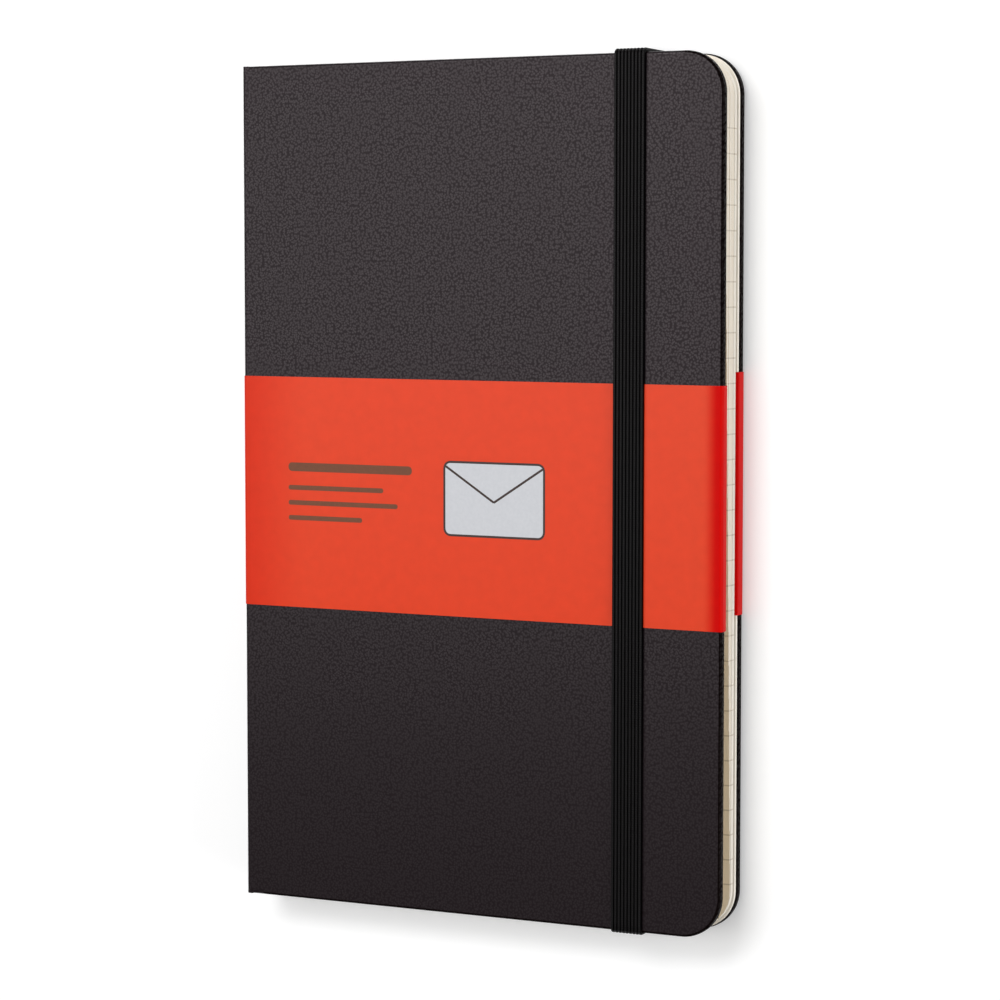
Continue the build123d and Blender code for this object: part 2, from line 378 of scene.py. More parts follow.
@dataclass(frozen=True)
class Leatherette(Finish):
    """Polyurethane-coated paper, embossed between rollers with a fine leather grain."""

    name: str = "embossed_leatherette"
    pebble: str = "#181114"
    crease: str = "#160F12"
    gloss_tint: str = "#FFF3F7"
    ior: float = 1.46
    dull: float = 0.175
    shine: float = 0.415
    gloss_reach: Reach = (0.25, 0.75)
    roughness: Reach = (0.36, 0.28)
    rough_reach: Reach = (0.2, 0.8)
    unrolled_x: Point3 = (1.0, 0.0, 1.0)
    unrolled_y: Point3 = (0.0, 1.0, 0.7)
    grain: float = 0.62
    dome_reach: Reach = (0.1, 0.65)
    fine: float = 0.4133
    fine_octaves: float = 0.0
    fine_share: float = 0.3
    wrinkle: float = 3.0
    wrinkle_octaves: float = 2.0
    drag: float = 0.75
    patch: float = 7.0
    patch_octaves: float = 1.0
    patch_reach: Reach = (0.35, 0.6)
    bite: Reach = (0.65, 1.0)
    depth: float = 0.008

    def make(self) -> bpy.types.Material:
        """Make a nearly black skin whose pebbles catch a soft light and whose creases stay dull.

        Returns:
            The material.
        """
        skin = Surface(self.name)
        # The roller prints a flat pattern, so it is laid out flat: height counts as distance round an edge.
        across = skin.node("VectorMath", [skin.place, self.unrolled_x], operation="DOT_PRODUCT")
        along = skin.node("VectorMath", [skin.place, self.unrolled_y], operation="DOT_PRODUCT")
        flat = skin.node("CombineXYZ", [across, along])
        # Wrinkles pull the pebbles out of their even rows.
        pull = skin.node("TexNoise", [flat, 1 / self.wrinkle, self.wrinkle_octaves])
        shift = skin.node("VectorMath", [pull.outputs["Color"], (0.5, 0.5, 0.5)], operation="SUBTRACT")
        bent = skin.node("VectorMath", [shift, (self.drag,) * 3, flat], operation="MULTIPLY_ADD")
        cells = skin.node("TexVoronoi", [bent, 1 / self.grain], voronoi_dimensions="2D")
        dome = skin.node("MapRange", [cells, *self.dome_reach, 1.0, 0.0])
        fine = skin.node("TexNoise", [bent, 1 / self.fine, self.fine_octaves])
        height = skin.node("Mix", [self.fine_share, dome, fine])
        # The roller bites less in some patches, where the grain all but fades out.
        patch = skin.node("TexNoise", [flat, 1 / self.patch, self.patch_octaves])
        bite = skin.node("MapRange", [patch, *self.patch_reach, *self.bite])
        grain = skin.node("Mix", [bite, 0.5, height])
        colour = skin.node("Mix", [grain, linear(self.crease), linear(self.pebble)], data_type="RGBA")
        return skin.coat(
            Base_Color=colour,
            Roughness=skin.node("MapRange", [grain, *self.rough_reach, *self.roughness]),
            IOR=self.ior,
            Specular_IOR_Level=skin.node("MapRange", [grain, *self.gloss_reach, self.dull, self.shine]),
            Specular_Tint=linear(self.gloss_tint),
            Normal=skin.node("Bump", {"Height": grain, "Distance": self.depth * MM}),
        )


@dataclass(frozen=True)
class WovenElastic(Finish):
    """Rubber threads covered with black polyester and woven flat into a ribbed tape."""

    name: str
    yarn: str
    gap: str
    shine: float
    roughness: float = 0.42
    ior: float = 1.5
    pick: float = 0.55
    sway: float = 1.2
    sway_octaves: float = 2.0
    fuzz: float = 0.25
    fuzz_octaves: float = 3.0
    fuzz_share: float = 0.35
    depth: float = 0.05

    def make(self) -> bpy.types.Material:
        """Make a dull black yarn whose picks cross the ribs.

        Returns:
            The material.
        """
        tape = Surface(self.name)
        # The real picks lie 0.3 mm apart. They are drawn coarser so that they still show.
        wave = [tape.place, WAVE_PERIOD / self.pick, self.sway, self.sway_octaves]
        picks = tape.node("TexWave", wave, bands_direction="Y").outputs["Fac"]
        fuzz = tape.node("TexNoise", [tape.place, 1 / self.fuzz, self.fuzz_octaves])
        height = tape.node("Mix", [self.fuzz_share, picks, fuzz])
        colour = tape.node("Mix", [height, linear(self.gap), linear(self.yarn)], data_type="RGBA")
        return tape.coat(
            Base_Color=colour,
            Roughness=self.roughness,
            IOR=self.ior,
            Specular_IOR_Level=self.shine,
            Normal=tape.node("Bump", {"Height": height, "Distance": self.depth * MM}),
        )


@dataclass(frozen=True)
class CoatedBandPaper(Finish):
    """Coated paper printed all over in red and calendered to a low gloss."""

    name: str = "coated_red_paper"
    flat_red: str = "#DA3406"
    shade_red: str = "#C60605"
    gloss_tint: str = "#FFF8E8"
    roughness: float = 0.38
    ior: float = 1.46
    gloss: Reach = (0.36, 0.05)
    fore_shade_reach: Reach = (60.1, 63.9)
    spine_reach: Reach = (-45.0, -66.0)
    spine_shade_share: float = 0.42
    mottle: float = 2.86
    mottle_reach: Reach = (0.3, 0.7)
    mottle_share: Reach = (0.97, 1.03)
    fibre: float = 0.4
    octaves: float = 4.0
    depth: float = 0.012
    relief: float = 0.5

    def make(self) -> bpy.types.Material:
        """Make an even red with painted shade that darkens it towards the fore-edge fold and towards the
        spine.

        Returns:
            The material.
        """
        paper = Surface(self.name)
        across = paper.node("SeparateXYZ", [paper.place]).outputs["X"]
        smooth = {"interpolation_type": "SMOOTHSTEP"}
        # Painted shade: the red darkens towards the fore-edge fold and, by less, towards the spine.
        fore = paper.node("MapRange", [across, *self.fore_shade_reach, 0.0, 1.0], **smooth)
        spine = paper.node("MapRange", [across, *self.spine_reach, 0.0, self.spine_shade_share], **smooth)
        band_shade = paper.node("Math", [fore, spine], operation="MAXIMUM")
        red = paper.node("Mix", [band_shade, linear(self.flat_red), linear(self.shade_red)], data_type="RGBA")
        # Ink lies a little unevenly on the fibres under the coating.
        mottle = paper.node("TexNoise", [paper.place, 1 / self.mottle, self.octaves])
        share = paper.node("MapRange", [mottle, *self.mottle_reach, *self.mottle_share])
        fibre = paper.node("TexNoise", [paper.place, 1 / self.fibre, self.octaves])
        relief = {"Height": fibre, "Distance": self.depth * MM, "Strength": self.relief}
        return paper.coat(
            Base_Color=paper.node("VectorMath", [red, share], operation="SCALE"),
            Roughness=self.roughness,
            IOR=self.ior,
            # The gloss falls off under the same painted shade, towards the fold and the spine.
            Specular_IOR_Level=paper.node("MapRange", [band_shade, 0.0, 1.0, *self.gloss]),
            Specular_Tint=linear(self.gloss_tint),
            Normal=paper.node("Bump", relief),
        )


@dataclass(frozen=True)
class PrintInk(Finish):
    """Offset ink laid on paper, a little uneven where the fibres take it up."""

    name: str
    full: str
    thin: str
    roughness: float = 0.55
    ior: float = 1.46
    mottle: float = 0.714
    octaves: float = 4.0

    def make(self) -> bpy.types.Material:
        """Make a flat layer with a faint mottle.

        Returns:
            The material.
        """
        ink = Surface(self.name)
        take = ink.node("TexNoise", [ink.place, 1 / self.mottle, self.octaves])
        colour = ink.node("Mix", [take, linear(self.thin), linear(self.full)], data_type="RGBA")
        return ink.coat(Base_Color=colour, Roughness=self.roughness, IOR=self.ior)


@dataclass(frozen=True)
class PaperCore(PrintInk):
    """The white pulp that shows where coated paper was cut, matt and tinted by ink that runs over it."""

    name: str = "cut_paper_core"
    full: str = "#E2A79B"
    thin: str = "#CC7A6C"
    roughness: float = 0.9
    ior: float = 1.45
    mottle: float = 0.5
    octaves: float = 3.0


@dataclass(frozen=True)
class WritingPaper(Finish):
    """Uncoated ivory writing paper, ruled in grey and trimmed in a guillotine."""

    name: str
    sheet: str = "#FBF8F3"
    cloud: str = "#F6F2EA"
    rule: str = "#BFAE92"
    margin: str = "#F4EEE3"
    roughness: float = 0.86
    ior: float = 1.45
    clouding: float = 4.55
    cloud_octaves: float = 5.0
    margin_start: float = 55.0
    pitch: float = 6.0
    rule_share: float = 0.8
    rule_reach: Reach = (0.096, 0.224)
    first_rule: float = 87.0
    last_rule: float = -93.0
    fibre: float = 0.3333
    fibre_octaves: float = 4.0
    depth: float = 0.015
    relief: float = 0.5

    def make(self) -> bpy.types.Material:
        """Make a matt sheet whose rules run off the fore-edge as small ticks.

        Returns:
            The material.
        """
        paper = Surface(self.name)
        cloud = paper.node("TexNoise", [paper.place, 1 / self.clouding, self.cloud_octaves])
        blank = paper.node("Mix", [cloud, linear(self.cloud), linear(self.sheet)], data_type="RGBA")
        place = paper.node("SeparateXYZ", [paper.place])
        across, along = place.outputs["X"], place.outputs["Y"]
        # The outer margin, which carries the index letters, is tinted warm: painted shade, tan on the index
        # paper, whose steps lie in the hollow under the front cover.
        begun = paper.node("Math", [across, self.margin_start], operation="GREATER_THAN")
        tone = paper.node("Mix", [begun, blank, linear(self.margin)], data_type="RGBA")
        down = paper.node("Math", [along, self.first_rule], operation="SUBTRACT")
        step = paper.node("Math", [down, self.pitch / 2], operation="PINGPONG")
        # The real rule is 0.15 mm wide. It is drawn wider so that its ticks show on the trimmed edges.
        line = paper.node("MapRange", [step, *self.rule_reach, self.rule_share, 0.0])
        middle = (self.first_rule + self.last_rule) / 2
        reach = (self.first_rule - self.last_rule + self.pitch) / 2
        inside = paper.node("Math", [along, middle, reach], operation="COMPARE")
        ruled = paper.node("Math", [line, inside], operation="MULTIPLY")
        fibre = paper.node("TexNoise", [paper.place, 1 / self.fibre, self.fibre_octaves])
        relief = {"Height": fibre, "Distance": self.depth * MM, "Strength": self.relief}
        return paper.coat(
            Base_Color=paper.node("Mix", [ruled, tone, linear(self.rule)], data_type="RGBA"),
            Roughness=self.roughness,
            IOR=self.ior,
            Normal=paper.node("Bump", relief),
        )


@dataclass(frozen=True)
class FibreSheet(Finish):
    """A pressed sheet of paper or board fibre, made on a wire and dried flat."""

    name: str
    light: str
    dark: str
    fleck: float
    fleck_reach: Reach = (0.1, 0.45)
    fleck_share: float = 0.35
    roughness: float = 0.85
    ior: float = 1.45
    clouding: float = 3.33
    cloud_octaves: float = 6.0
    fibre: float = 0.4
    fibre_octaves: float = 5.0
    depth: float = 0.02
    relief: float = 0.6

    def make(self) -> bpy.types.Material:
        """Make a matt sheet with clouded fibres and small flecks.

        Returns:
            The material.
        """
        sheet = Surface(self.name)
        cloud = sheet.node("TexNoise", [sheet.place, 1 / self.clouding, self.cloud_octaves])
        fleck = sheet.node("TexVoronoi", [sheet.place, 1 / self.fleck])
        spot = sheet.node("MapRange", [fleck, *self.fleck_reach, self.fleck_share, 0.0])
        tone = sheet.node("Math", [cloud, spot], operation="ADD")
        fibre = sheet.node("TexNoise", [sheet.place, 1 / self.fibre, self.fibre_octaves])
        relief = {"Height": fibre, "Distance": self.depth * MM, "Strength": self.relief}
        return sheet.coat(
            Base_Color=sheet.node("Mix", [tone, linear(self.light), linear(self.dark)], data_type="RGBA"),
            Roughness=self.roughness,
            IOR=self.ior,
            Normal=sheet.node("Bump", relief),
        )


@dataclass(frozen=True)
class PlainWeave(Finish):
    """A plain-woven textile: threads that cross over and under at a fixed spacing."""

    name: str
    raised: str
    sunk: str
    warp: float
    weft: float
    roughness: float
    sheen: float
    sheen_roughness: float = 0.4
    ior: float = 1.5
    depth: float = 0.06

    def make(self) -> bpy.types.Material:
        """Make a cloth whose crossing threads show as small raised squares.

        Returns:
            The material.
        """
        cloth = Surface(self.name)
        warp = cloth.node("TexWave", [cloth.place, WAVE_PERIOD / self.warp], bands_direction="X")
        weft = cloth.node("TexWave", [cloth.place, WAVE_PERIOD / self.weft], bands_direction="Y")
        cross = cloth.node("Math", [warp.outputs["Fac"], weft.outputs["Fac"]], operation="MULTIPLY")
        return cloth.coat(
            Base_Color=cloth.node("Mix", [cross, linear(self.sunk), linear(self.raised)], data_type="RGBA"),
            Roughness=self.roughness,
            IOR=self.ior,
            Sheen_Weight=self.sheen,
            Sheen_Roughness=self.sheen_roughness,
            Normal=cloth.node("Bump", {"Height": cross, "Distance": self.depth * MM}),
        )


class Stock(Enum):
    """Every finish of the book, by its part in it."""

    LEATHERETTE = Leatherette()
    # Darker and without gloss: painted shade on the covers' fore and tail edges.
    PAINTED_SHADE_EDGE = Leatherette("leatherette_edge_painted_shade", "#100A09", "#0A0606", dull=0.0, shine=0.06)
    ELASTIC_RIB = WovenElastic("woven_elastic_rib", "#110F10", "#060505", 0.14)
    # Darker and duller yarn on the groove faces: painted shade in the grooves.
    ELASTIC_GROOVE_SHADE = WovenElastic("woven_elastic_groove_shade", "#040304", "#010101", 0.03)
    BAND = CoatedBandPaper()
    BAND_CORE = PaperCore()
    BROWN_INK = PrintInk("brown_print_ink", "#5E3218", "#74401F")
    GREY_INK = PrintInk("pale_grey_print_ink", "#CDCED2", "#BFC1C6")
    BLACK_INK = PrintInk("black_print_ink", "#2A1A16", "#3A241C")
    TAB_INK = PrintInk("grey_tab_ink", "#5C5548", "#6E6656", 0.8)
    WRITING_PAPER = WritingPaper("ruled_ivory_paper")
    # The tan margin is painted shade on the index steps in the hollow under the front cover.
    INDEX_PAPER = WritingPaper("ruled_index_paper", margin="#EFDFC3")
    LEAF_EDGES = WritingPaper("trimmed_leaf_edges", rule_share=0.28)
    ENDPAPER = FibreSheet("ivory_endpaper", "#EEE6D4", "#E0D5BE", 2.4)
    GREYBOARD = FibreSheet("recycled_greyboard", "#8E877C", "#6A645B", 1.1)
    GAUZE = PlainWeave("mull_gauze", "#E4DAC4", "#B8AB90", 1.0, 1.0, 0.9, 0.1)
    POCKET_CARD = FibreSheet("ivory_pocket_card", "#F8F3EA", "#EDE5D7", 1.8)
    POCKET_CLOTH = PlainWeave("black_book_cloth", "#2B2829", "#0F0D0E", 0.6, 0.6, 0.85, 0.2)
    RIBBON = PlainWeave("black_rayon_ribbon", "#2A2728", "#100E0F", 0.35, 0.5, 0.45, 0.3)


class Bench:
    """Where pieces are finished, tied to their bodies and reported."""

    def __init__(self, nodes: dict[str, bpy.types.Object]) -> None:
        """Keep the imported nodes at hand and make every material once."""
        self.nodes = nodes
        self.materials = {stock: stock.value.make() for stock in Stock}

    def span(self, node: str) -> tuple[Vector, Vector]:
        """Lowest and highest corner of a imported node, in millimetres."""
        low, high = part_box(node)
        return Vector(low) / MM, Vector(high) / MM

    def low(self, node: str) -> Vector:
        """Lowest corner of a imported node, in millimetres."""
        return self.span(node)[0]

    def high(self, node: str) -> Vector:
        """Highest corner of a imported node, in millimetres."""
        return self.span(node)[1]

    def dress(self, stock: Stock, *names: str) -> None:
        """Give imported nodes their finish.

        Args:
            stock: The finish.
            *names: The nodes that take it.
        """
        material = self.materials[stock]
        for name in names:
            node = self.nodes[name]
            if not node.material_slots:
                node.data.materials.append(None)
            for slot in node.material_slots:
                slot.material = material
            LOG.info("%s dressed in %s", name, material.name)

    def place(
        self,
        piece: bpy.types.Object,
        stocks: Sequence[Stock],
        slot: str,
        motion: Motion,
        stands_for: Sequence[str] = (),
    ) -> None:
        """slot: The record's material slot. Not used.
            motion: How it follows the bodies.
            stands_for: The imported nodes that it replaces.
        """
        for stock in stocks:
            piece.data.materials.append(self.materials[stock])
        motion.apply(piece)
        if stands_for:
            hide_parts(*stands_for)
        LOG.info("%s made, %d faces, %s", piece.name, len(piece.data.polygons), motion)


@dataclass
class Case:
    """The covers and the spine, with the leatherette that crosses the two hinges."""

    bench: Bench
    edge_radius: float = 0.7
    spine_radius: float = 0.9
    proud: float = 0.01
    sunk: float = 0.02
    skin: float = 0.12
    spine_reach: float = 2.0
    cover_reach: float = 6.0
    hinge_start: float = 1.95
    hinge_flat: tuple[float, ...] = (-0.8, 0.0, 1.1)
    end_angles: tuple[float, ...] = (90.0, 60.0, 40.0, 20.0, 0.0)
    edge_start: float = 5.0
    edge_proud: float = 0.008
    edge_angle: float = 80.0
    corner_steps: int = 24
    crease: float = 40.0

    def dress(self) -> None:
        """Give the case's own nodes their finishes."""
        sides = ("front", "back", "spine")
        self.bench.dress(Stock.LEATHERETTE, *(f"{side}_leatherette" for side in sides))
        self.bench.dress(Stock.GREYBOARD, *(f"{side}_board" for side in sides))
        self.bench.dress(Stock.ENDPAPER, "front_pastedown", "rear_pastedown")
        self.bench.dress(Stock.GAUZE, "spine_lining")

    def build(self) -> None:
        """Make the skin over each hinge and each cover's turned edge."""
        low, high = self.bench.span("spine_leatherette")
        for cover, z_outer, inward in (("front", high.z, -1.0), ("back", low.z, 1.0)):
            self.build_hinge(cover, z_outer, inward)
            self.build_edge(cover)

    def hinge_path(self, x_outer: float, z_outer: float, inward: float) -> list[Point2]:
        """The outside of the skin round one long edge of the spine, in X and Z.

        Args:
            x_outer: The spine's outer face.
            z_outer: The cover's outer face.
            inward: Direction in Z from that face into the book, 1 or -1.

        Returns:
            The points from the spine to the cover.
        """
        z_face = z_outer - inward * self.proud
        radius = self.spine_radius + self.proud
        centre = (x_outer + self.spine_radius, z_outer + inward * self.spine_radius)
        round_edge = arc(centre, radius, 180.0, 180.0 + 90.0 * inward)
        # Both ends of the strip dip below the skin that they join, so that no edge shows.
        start = (x_outer + self.sunk, z_outer + inward * self.spine_reach)
        x_hinge = x_outer + self.hinge_start
        flat = [(x_hinge + shift, z_face) for shift in self.hinge_flat]
        last = (x_hinge + self.cover_reach, z_outer + inward * self.sunk)
        return [start, *round_edge, *flat, last]

    def build_hinge(self, cover: str, z_outer: float, inward: float) -> None:
        """Make the strip of leatherette that bends at one hinge.

        Args:
            cover: Which cover, front or back.
            z_outer: The cover's outer face.
            inward: Direction in Z from that face into the book, 1 or -1.
        """
        low, high = self.bench.span("spine_leatherette")
        radius = self.edge_radius
        outside = self.hinge_path(low.x, z_outer, inward)
        section = [*outside, *reversed(offset_right(outside, -inward * self.skin))]
        ends = [high.y - radius * (1 - math.sin(math.radians(angle))) for angle in self.end_angles]
        # One more station next to the round keeps the long face's shading flat.
        ends.append(high.y - 2 * radius)
        loops = []
        for y in [-end for end in ends] + [0.0] + ends[::-1]:
            over = max(0.0, abs(y) - (high.y - radius))
            drop = radius - math.sqrt(max(0.0, radius**2 - over**2))
            loop = []
            for x, z in section:
                share = smoothstep(low.x + self.spine_radius, low.x + self.hinge_start, x)
                loop.append((x, y, z + inward * drop * share))
            loops.append(loop)
        shell = Shell()
        shell.sweep(loops, Cap.LADDER)
        start = (low.x, 0.0, z_outer + inward * self.spine_radius)
        bend = Bends("spine", f"{cover}_cover", start, (low.x + self.hinge_start, 0.0, z_outer))
        strip = shell.piece(f"hinge_skin_{cover}", self.crease)
        self.bench.place(strip, [Stock.LEATHERETTE], "leatherette", bend)

    def edge_section(self, z_low: float, z_high: float) -> list[Point2]:
        """The outside of a cover's turned edge, as distances from its outline and heights.

        Args:
            z_low: The cover's lower face.
            z_high: Its upper face.

        Returns:
            The points from the upper face to the lower one.
        """
        radius = self.edge_radius
        upper, lower = (-radius, z_high - radius), (-radius, z_low + radius)
        # Both sides of the strip dip below the skin, so that no edge shows.
        return [
            (-radius, z_high - self.sunk),
            *arc(upper, radius + self.edge_proud, self.edge_angle, 0.0),
            *arc(lower, radius + self.edge_proud, 0.0, -self.edge_angle),
            (-radius, z_low + self.sunk),
        ]

    def build_edge(self, cover: str) -> None:
        """Make a cover's fore and tail edge in a darker leatherette without gloss: painted shade on these
        edges.

        Args:
            cover: Which cover, front or back.
        """
        low, high = self.bench.span(f"{cover}_leatherette")
        outside = self.edge_section(low.z, high.z)
        section = [*outside, *reversed(offset_right(outside, self.skin))]
        x_corner, y_corner = high.x - COVER_CORNER, high.y - COVER_CORNER
        x_start = self.bench.low("spine_leatherette").x + self.edge_start
        outline = []
        for y, start, end in ((y_corner, 90.0, 0.0), (-y_corner, 0.0, -90.0)):
            outline.extend(arc_rays((x_corner, y), COVER_CORNER, start, end, self.corner_steps))
        outline.append(((x_start, -high.y), (0.0, -1.0)))
        shell = Shell()
        loops = [[(x + a * u, y + b * u, z) for u, z in section] for (x, y), (a, b) in outline]
        shell.sweep(loops, Cap.LADDER)
        piece = shell.piece(f"turned_edge_{cover}", self.crease)
        self.bench.place(piece, [Stock.PAINTED_SHADE_EDGE], "leatherette", Rides(f"{cover}_cover"))


@dataclass
class LeafBlock:
    """All of the leaves, in sewn groups, and the letters on their index steps."""

    bench: Bench
    tab_depth: float = 9.0
    root_radius: float = 1.0
    root_steps: int = 6
    corner_steps: int = 10
    fold_length: float = 1.9
    fold_tip: float = 0.03
    tip_share: float = 0.8
    air: float = 0.012
    trim_scatter: float = 0.05
    opening_count: int = 4
    notes_count: int = 16
    letter_count: int = 2
    notes_press: float = 0.94
    letter_size: float = 5.2
    letter_height: float = 0.004
    letter_steps: int = 4
    seed: int = 11

    def groups(self) -> list[tuple[str, str, int, int | None]]:
        """List the groups from the front to the back.

        Returns:
            Each group's node, body, number of leaves and index step.
        """
        letters = [(f"index_{a}", f"leaves_{a}", self.letter_count, i) for i, a in enumerate(LETTERS)]
        opening = ("opening_leaves", "leaves_opening", self.opening_count, None)
        return [opening, *letters, ("notes_leaves", "leaves_notes", self.notes_count, None)]

    def tab_pitch(self) -> float:
        """Height of one index step."""
        low, high = self.bench.span("notes_leaves")
        return (high.y - low.y) / len(LETTERS)

    def outline(self, x_leaf: float, y_half: float, tab: int | None) -> list[Point2]:
        """A leaf's edge from tail to head, without its fold.

        Args:
            x_leaf: The trimmed fore-edge.
            y_half: Half the leaf's height.
            tab: The index step that the leaf keeps, or None for a whole leaf.

        Returns:
            The points in order.
        """
        # The round corners keep the centre of the cover's.
        radius = COVER_CORNER - (self.bench.high("front_leatherette").x - x_leaf)
        x_round, y_round = x_leaf - radius, y_half - radius
        edge = arc((x_round, -y_round), radius, -90.0, 0.0, self.corner_steps)
        edge += arc((x_round, y_round), radius, 0.0, 90.0, self.corner_steps)
        if tab is None or tab == len(LETTERS) - 1:
            return edge
        foot = y_half - (tab + 1) * self.tab_pitch()
        over = max(0.0, abs(foot) - y_round)
        x_foot = x_leaf - radius + math.sqrt(radius**2 - over**2)
        x_root = x_leaf - self.tab_depth
        bend = (x_root + self.root_radius, foot - self.root_radius)
        root = arc(bend, self.root_radius, 180.0, 90.0, self.root_steps)
        kept = [point for point in edge if point[1] > foot + SAME_POINT]
        return [(x_root, -y_half), *root, (x_foot, foot), *kept]

    def add_leaf(self, shell: Shell, edge: Sequence[Point2], fold: Point2, z: Sequence[float]) -> None:
        """Add one leaf that thins out towards its fold.

        Args:
            shell: The group's shell.
            edge: The leaf's edge from tail to head.
            fold: X of the fold's tip and half the leaf's height.
            z: Heights of the leaf's underside and top, and of its tip's underside and top.
        """
        x_tip, y_half = fold
        x_full = x_tip + self.fold_length
        ring = [(x_full, -y_half), *edge, (x_full, y_half)]
        low = shell.add_points((x, y, z[0]) for x, y in ring)
        high = shell.add_points((x, y, z[1]) for x, y in ring)
        tips = shell.add_points((x_tip, y, level) for y in (-y_half, y_half) for level in z[2:])
        shell.add_face(low[::-1])
        shell.add_face(high)
        for i in range(len(ring) - 1):
            shell.add_face((low[i], low[i + 1], high[i + 1], high[i]), 1)
        shell.add_face((low[0], high[0], tips[1], tips[0]))
        shell.add_face((low[-1], high[-1], tips[3], tips[2]))
        shell.add_face((high[0], high[-1], tips[3], tips[1]))
        shell.add_face((low[0], low[-1], tips[2], tips[0]))
        shell.add_face(tips[:2] + tips[:1:-1])

    def build(self) -> None:
        """Make each group of leaves as separate sheets, with its letter."""
        scatter = random.Random(self.seed)
        for node, body, count, tab in self.groups():
            low, high = self.bench.span(node)
            height = (high.z - low.z) * (self.notes_press if node == "notes_leaves" else 1.0)
            pitch = height / count
            middle = (low.z + high.z) / 2
            shell = Shell()
            for i in range(count):
                trimmed = high.x - scatter.uniform(0.0, self.trim_scatter)
                z_leaf = low.z + i * pitch
                tip = middle + (i / count - 0.5) * self.fold_tip
                tip_top = tip + self.tip_share * self.fold_tip / count
                levels = (z_leaf, z_leaf + pitch - self.air, tip, tip_top)
                self.add_leaf(shell, self.outline(trimmed, high.y, tab), (low.x, high.y), levels)
            piece = shell.piece(node.replace("index_", "leaves_of_") + "_sheets")
            paper = Stock.WRITING_PAPER if tab is None else Stock.INDEX_PAPER
            self.bench.place(piece, [paper, Stock.LEAF_EDGES], "writing_paper", Rides(body), [node])
            if tab is not None:
                self.letter(tab, body, Vector((high.x, high.y, high.z - self.air)))

    def letter(self, tab: int, body: str, corner: Vector) -> None:
        """Print one letter on its index step.

        Args:
            tab: The index step, counted from the head.
            body: The body of its leaves.
            corner: Fore-edge, head and top of its leaves.
        """
        sign = LETTERS[tab].upper()
        text = bpy.data.curves.new(f"tab_text_{sign}", "FONT")
        text.body = sign
        text.size = self.letter_size * MM
        text.align_x, text.align_y = "CENTER", "CENTER"
        text.extrude = self.letter_height / 2 * MM
        text.resolution_u = self.letter_steps
        mesh = curve_mesh(text)
        x = corner.x - self.tab_depth / 2
        y = corner.y - (tab + 0.5) * self.tab_pitch()
        z = corner.z + self.letter_height / 2
        for vertex in mesh.vertices:
            vertex.co += Vector((x, y, z)) * MM
        mesh.materials.clear()
        piece = bpy.data.objects.new(f"tab_letter_{LETTERS[tab]}", mesh)
        bpy.context.scene.collection.objects.link(piece)
        self.bench.place(piece, [Stock.TAB_INK], "writing_paper", Rides(body))


@dataclass
class RibbonMarker:
    """The narrow woven ribbon laid down a page."""

    bench: Bench
    slant: float = 5.0
    slant_share: float = 0.2
    waver: float = 0.35
    shares: tuple[float, ...] = (0.0, 0.15, 0.35, 0.6, 0.85, 1.0)
    sways: tuple[float, ...] = (0.0, 0.0, 1.0, -1.0, 0.6, 0.0)
    route_order: int = 3
    route_steps: int = 12
    selvedge: float = 0.5
    selvedge_lip: float = 0.15
    thin: float = 0.7
    crease: float = 50.0

    def route(self, low: Vector, high: Vector) -> list[Point3]:
        """The ribbon's middle line from head to tail.

        Args:
            low: Lowest corner of the ribbon's node.
            high: Its highest corner.

        Returns:
            The points in order.
        """
        x_mid, z_mid = (low.x + high.x) / 2, (low.z + high.z) / 2
        curve = bpy.data.curves.new("ribbon_route", "CURVE")
        curve.dimensions = "3D"
        spline = curve.splines.new("NURBS")
        spline.points.add(len(self.shares) - 1)
        for point, share, sway in zip(spline.points, self.shares, self.sways):
            place = (x_mid + sway * self.waver, high.y - share * (high.y - low.y), z_mid)
            point.co = (*(c * MM for c in place), 1.0)
        spline.order_u = self.route_order
        spline.use_endpoint_u = True
        spline.resolution_u = self.route_steps
        return [tuple(vertex.co / MM) for vertex in curve_mesh(curve).vertices]

    def build(self) -> None:
        low, high = self.bench.span("ribbon_marker")
        width, thickness, length = high.x - low.x, high.z - low.z, high.y - low.y
        path = self.route(low, high)
        half, flat, edge = width / 2, self.thin * thickness / 2, thickness / 2
        inner, lip = half - self.selvedge, half - self.selvedge_lip
        section = [(-half, 0.0), (-lip, edge), (-inner, flat), (inner, flat), (lip, edge)]
        section += [(-u, -v) for u, v in section]
        loops = []
        for x, y, z in path:
            # The free end is cut on the slant.
            near_end = smoothstep(self.slant_share, 0.0, (y - low.y) / length)
            slant = near_end * self.slant
            loops.append([(x + u, y + slant * (u + half) / width, z + v) for u, v in section])
        shell = Shell()
        shell.sweep(loops)
        piece = shell.piece("ribbon_marker_woven", self.crease)
        self.bench.place(piece, [Stock.RIBBON], "ribbon", Rides("leaves_n"), ["ribbon_marker"])


